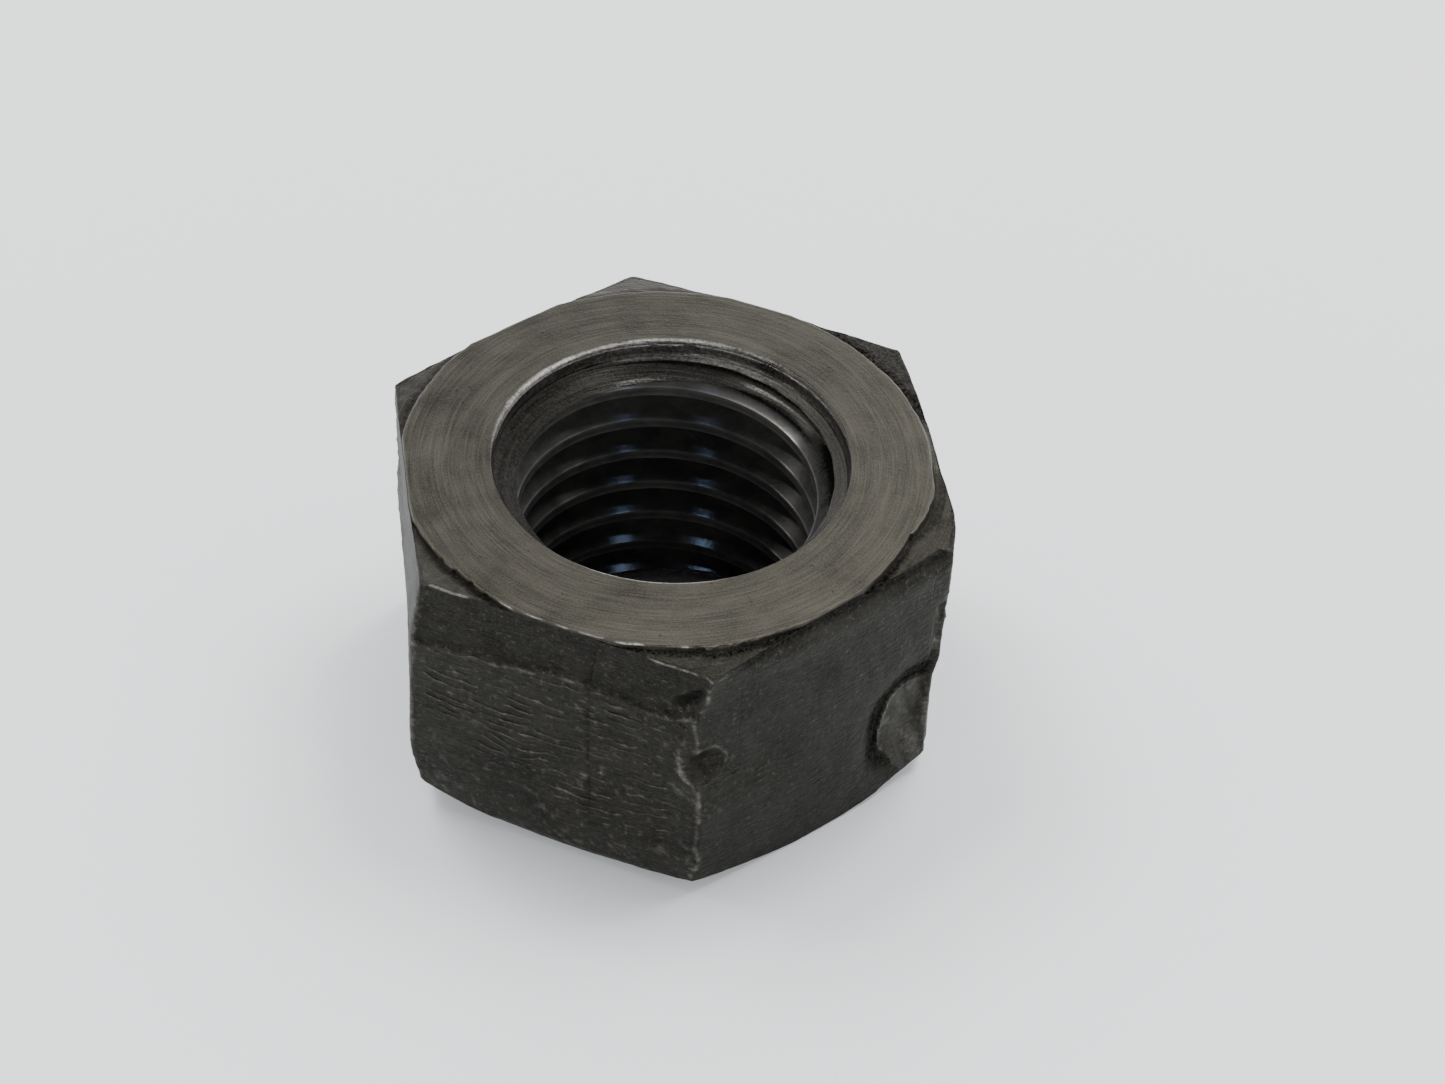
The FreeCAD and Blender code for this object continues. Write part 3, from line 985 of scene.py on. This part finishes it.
def apply_wear_and_painted_light(shader, colour, bare=BARE_STEEL_AND_PAINTED_LIGHT, least=0.5, most=1.4):
    """The colour with bare steel where the value is above zero, and the dark colour below.

    The value carries real wear and grime, and also painted highlights, painted light and painted
    shade. Fine grit makes it patchy, between the least and the most of its strength."""
    grit = shader.noise(shader.scaled(5.5, 5.5, 5.5), 2.0, 0.6)
    strength = shader.spread(grit, 0.3, 0.7, least, most)
    wear_and_painted_light = shader.math("MULTIPLY", shader.attribute("wear_and_painted_light"), strength)
    metallic = shader.spread(wear_and_painted_light, 0.0, -1.0, shader.metallic, 0.0)
    shader.set("Metallic", metallic)
    colour = shader.mix(shader.spread(wear_and_painted_light, 0.05, 1.0), colour, bare)
    return shader.mix(shader.spread(wear_and_painted_light, 0.0, -1.0), colour, GRIME_AND_PAINTED_SHADE)


def turned_steel(name, dark, light, roughness, depth):
    """Steel cut on a lathe: uneven rings about the thread's axis, stains, small pits, and a
    painted gradient of light across it.
    """
    shader = Shader(name, 1.0)
    centred = shader.vector("SUBTRACT", shader.place, (*FACE_OFFSET, 0.0))
    x, y, _ = shader.separate(centred)
    radius = shader.vector("LENGTH", shader.combine(x, y, 0.0))

    def rings(per_mm, drift):
        return shader.combine(shader.math("MULTIPLY", radius, per_mm),
                              shader.math("MULTIPLY", x, drift),
                              shader.math("MULTIPLY", y, drift))

    fine = shader.noise(rings(9.0, 0.3), 3.0, 0.6)
    coarse = shader.noise(rings(1.6, 0.12), 2.0)
    stain = shader.noise(shader.scaled(0.33, 0.33, 0.33), 4.0)
    grain = shader.noise(shader.scaled(9.0, 9.0, 9.0), 2.0)
    pits = shader.noise(shader.scaled(1.7, 1.7, 1.7), 3.0, 0.7)
    # The x and y terms paint a gradient of light: lighter towards +X and slightly towards -Y.
    tone = shader.total((fine, 0.4), (coarse, 0.12), (stain, 0.18), (grain, 0.3), (x, 0.003),
                        (y, -0.0004))
    colour = shader.mix(shader.spread(tone, 0.36, 0.64), dark, light)
    pitted = shader.spread(pits, 0.68, 0.75)
    colour = shader.mix(shader.math("MULTIPLY", pitted, 0.7), colour, GRIME_AND_PAINTED_SHADE)
    rough = shader.spread(shader.math("ADD", stain, grain), 0.7, 1.3, roughness - 0.1,
                          roughness + 0.12)
    normal = shader.bump(fine, depth)
    normal = shader.bump(grain, depth * 0.5, normal)
    normal = shader.bump(pits, 0.03, normal)
    return shader.finish(apply_wear_and_painted_light(shader, colour), rough, normal)


def torn_steel():
    """The sides: dark scaled skin with a fine grain, drag marks and thin bare ridges."""
    shader = Shader("dark_torn_steel", 0.9)
    grain = shader.noise(shader.scaled(8.0, 8.0, 8.0), 3.0, 0.6)
    drag = shader.noise(shader.scaled(4.0, 4.0, 0.35), 3.0)
    tear = shader.noise(shader.scaled(0.9, 0.9, 5.5), 3.0)
    blotch = shader.noise(shader.scaled(0.4, 0.4, 0.4), 4.0)
    tone = shader.total((grain, 0.3), (drag, 0.15), (tear, 0.25), (blotch, 0.3))
    colour = shader.mix(shader.spread(tone, 0.38, 0.64), SKIN_DARK, SKIN_LIGHT)
    specks = shader.noise(shader.scaled(3.4, 3.4, 4.2), 4.0, 0.72)
    colour = shader.mix(shader.spread(specks, 0.57, 0.68, 0.0, 0.6), colour, SPECKS)
    colour = shader.mix(shader.spread(specks, 0.43, 0.32, 0.0, 0.7), colour, GRIME_AND_PAINTED_SHADE)
    rough = shader.spread(tone, 0.38, 0.62, 0.42, 0.62)
    normal = shader.bump(tear, 0.05)
    normal = shader.bump(drag, 0.03, normal)
    normal = shader.bump(grain, 0.03, normal)
    normal = shader.bump(specks, 0.06, normal)
    return shader.finish(apply_wear_and_painted_light(shader, colour, BARE_RIDGES_AND_PAINTED_LIGHT), rough, normal)


def oiled_thread():
    """The thread: almost black and glossy under a film of oil, with brownish bare edges."""
    shader = Shader("oiled_thread", 0.3)
    smear = shader.noise(shader.scaled(0.6, 0.6, 1.2), 3.0)
    grain = shader.noise(shader.scaled(5.0, 5.0, 9.0), 2.0)
    colour = shader.mix(shader.spread(smear, 0.4, 0.6), OIL_DARK, OIL_LIGHT)
    rough = shader.spread(shader.math("ADD", smear, grain), 0.8, 1.2, 0.1, 0.18)
    normal = shader.bump(grain, 0.004)
    return shader.finish(apply_wear_and_painted_light(shader, colour, BARE_CRESTS_AND_PAINTED_LIGHT, 0.9, 1.1), rough, normal)


def add_materials(piece):
    made = {kind: turned_steel(*values) for kind, values in TURNED.items()}
    made["side"] = torn_steel()
    made["thread"] = oiled_thread()
    for kind in MATERIAL_ORDER:
        piece.data.materials.append(made[kind])


# -------------------- camera, light and floor

# The camera looks down at a point near the nut's middle, in millimetres, from this distance.
# It is rolled a little, and then turned with its aim about the thread's axis.
CAMERA_ELEVATION = math.radians(43.42)
CAMERA_ROLL = math.radians(2.75)
CAMERA_TURN = math.radians(20.216)
CAMERA_DISTANCE = 195.86
CAMERA_AIM = (3.31, 2.83, 9.0)
LENS = 82.05
SENSOR_WIDTH = 36
NEAREST_SEEN = 0.01

# Sizes and distances of the lights, in millimetres.
STUDIO_DISTANCE = 1100
SOFTBOX_SIZE = 480
FILL_SIZE = 160
WINDOW_DISTANCE = 330
WINDOW_SIZE = 28
WINDOW_COLOUR = (0.42, 0.62, 1.0)

FLOOR_REACH = 3.0
FLOOR_COLOUR = (0.9, 0.915, 0.94, 1)

# Sine of the elevation where the light starts to dim and where it has dimmed, and its
# strength below and above.
WALLS_TO_CEILING = (0.2, 0.72, 4.2, 0.85)
# Overhead on the camera's side it is darker still: the direction of that dark in degrees,
# the cosines of the angles from it where the dark starts and is full, and what is left.
DARK_SIDE = (-70, 70)
DARK_SPREAD = (0.4, 0.8, 1.0, 0.07)


def add_camera():
    data = bpy.data.cameras.new("camera")
    data.sensor_width = SENSOR_WIDTH
    data.lens = LENS
    data.clip_start = NEAREST_SEEN
    camera = place("camera", data)
    ahead = Vector((0, math.cos(CAMERA_ELEVATION), -math.sin(CAMERA_ELEVATION)))
    side = Vector((1, 0, 0))
    up = side.cross(ahead)
    rolled_side = math.cos(CAMERA_ROLL) * side + math.sin(CAMERA_ROLL) * up
    rolled_up = math.cos(CAMERA_ROLL) * up - math.sin(CAMERA_ROLL) * side
    matrix = Matrix((rolled_side, rolled_up, -ahead)).transposed().to_4x4()
    matrix.translation = (Vector(CAMERA_AIM) - ahead * CAMERA_DISTANCE) * MM
    camera.matrix_world = Matrix.Rotation(CAMERA_TURN, 4, "Z") @ matrix
    bpy.context.scene.camera = camera


def direction(azimuth, elevation):
    """The unit vector that points that way. Azimuth 0 is +X, and both are in degrees."""
    a = math.radians(azimuth)
    e = math.radians(elevation)
    return Vector((math.cos(a) * math.cos(e), math.sin(a) * math.cos(e), math.sin(e)))


def add_light(name, size, energy, azimuth, elevation, distance, colour=(1, 1, 1)):
    """A square light that looks at the nut from a direction given in degrees."""
    data = bpy.data.lights.new(name, "AREA")
    data.shape = "SQUARE"
    data.size = size * MM
    data.energy = energy
    data.color = colour
    light = place(name, data)
    way = direction(azimuth, elevation)
    light.location = (Vector((0, 0, HEIGHT / 2)) + way * distance) * MM
    light.rotation_euler = way.to_track_quat("Z", "Y").to_euler()
    return light


def add_lights():
    """Two softboxes behind the nut, a weak fill that nothing mirrors, and two small blue
    windows that are only mirrored, by the oiled thread."""
    add_light("softbox_right", SOFTBOX_SIZE, 8.2, 60, 65, STUDIO_DISTANCE)
    add_light("softbox_left", SOFTBOX_SIZE, 7.3, 165, 60, STUDIO_DISTANCE)
    fill = add_light("fill", FILL_SIZE, 1.3, -70, 39, STUDIO_DISTANCE)
    fill.visible_glossy = False
    for name, azimuth, elevation in (("window_right", 2, 69), ("window_front", -107, 75)):
        window_light = add_light(name, WINDOW_SIZE, 0.034, azimuth, elevation, WINDOW_DISTANCE,
                                 WINDOW_COLOUR)
        window_light.visible_diffuse = False


def add_floor():
    data = bpy.data.meshes.new("floor")
    corners = [(x * FLOOR_REACH, y * FLOOR_REACH, 0)
               for x, y in ((-1, -1), (1, -1), (1, 1), (-1, 1))]
    data.from_pydata(corners, [], [(0, 1, 2, 3)])
    floor = place("floor", data)
    shader = Shader("floor", 0.0)
    shader.set("Base Color", FLOOR_COLOUR)
    shader.set("Specular IOR Level", 0.5)
    shader.set("Roughness", 0.5)
    data.materials.append(shader.material)


def add_ramp(tree, value, numbers):
    """A soft ramp from the first two numbers to the last two."""
    ramp = tree.nodes.new("ShaderNodeMapRange")
    ramp.interpolation_type = "SMOOTHSTEP"
    for name, number in zip(("From Min", "From Max", "To Min", "To Max"), numbers):
        ramp.inputs[name].default_value = number
    tree.links.new(value, ramp.inputs["Value"])
    return ramp.outputs["Result"]


def add_world():
    """Soft light from low down all round, as from walls and windows, under a dim ceiling."""
    world = bpy.data.worlds.new("world")
    bpy.context.scene.world = world
    world.use_nodes = True
    tree = world.node_tree
    background = tree.nodes["Background"]
    background.inputs["Color"].default_value = (0.98, 0.99, 1.0, 1)
    way = tree.nodes.new("ShaderNodeTexCoord").outputs["Generated"]
    height = tree.nodes.new("ShaderNodeSeparateXYZ")
    toward = tree.nodes.new("ShaderNodeVectorMath")
    toward.operation = "DOT_PRODUCT"
    toward.inputs[1].default_value = direction(*DARK_SIDE)
    product = tree.nodes.new("ShaderNodeMath")
    product.operation = "MULTIPLY"
    link = tree.links.new
    link(way, height.inputs[0])
    link(way, toward.inputs[0])
    link(add_ramp(tree, height.outputs["Z"], WALLS_TO_CEILING), product.inputs[0])
    link(add_ramp(tree, toward.outputs["Value"], DARK_SPREAD), product.inputs[1])
    link(product.outputs[0], background.inputs["Strength"])


nut = to_object(build_nut(), "worn_nut")
add_materials(nut)
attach(nut, "root")
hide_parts(NODE)

add_camera()
add_world()
add_floor()
add_lights()
